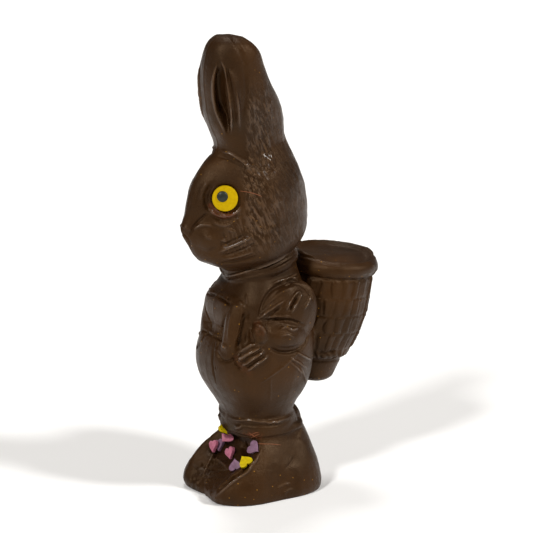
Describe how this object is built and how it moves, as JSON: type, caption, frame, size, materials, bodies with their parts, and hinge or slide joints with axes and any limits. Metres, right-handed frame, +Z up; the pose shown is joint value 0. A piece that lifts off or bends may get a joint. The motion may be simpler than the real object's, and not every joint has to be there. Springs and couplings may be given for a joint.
{
  "type": "moulded chocolate rabbit",
  "caption": "Standing moulded chocolate rabbit in jacket and trousers with a wicker basket on its back, candy disc eyes and heart sprinkles.",
  "frame": {"origin": "on the flat underside, in the mirror plane, below the ankles", "axes": "+Z up, the rabbit faces -Y, its left side is +X"},
  "size_m": [0.0588, 0.1064, 0.2243],
  "materials": {
    "chocolate": "milk chocolate, satin to glossy with a faint bloom",
    "yellow_candy": "smooth icing, satin",
    "grey_candy": "glazed icing, glossy"
  },
  "bodies": {
    "root": {"chocolate_rabbit": "chocolate", "candy_eye_left": "yellow_candy", "candy_eye_right": "yellow_candy", "candy_pupil_left": "grey_candy", "candy_pupil_right": "grey_candy"}
  },
  "joints": []
}
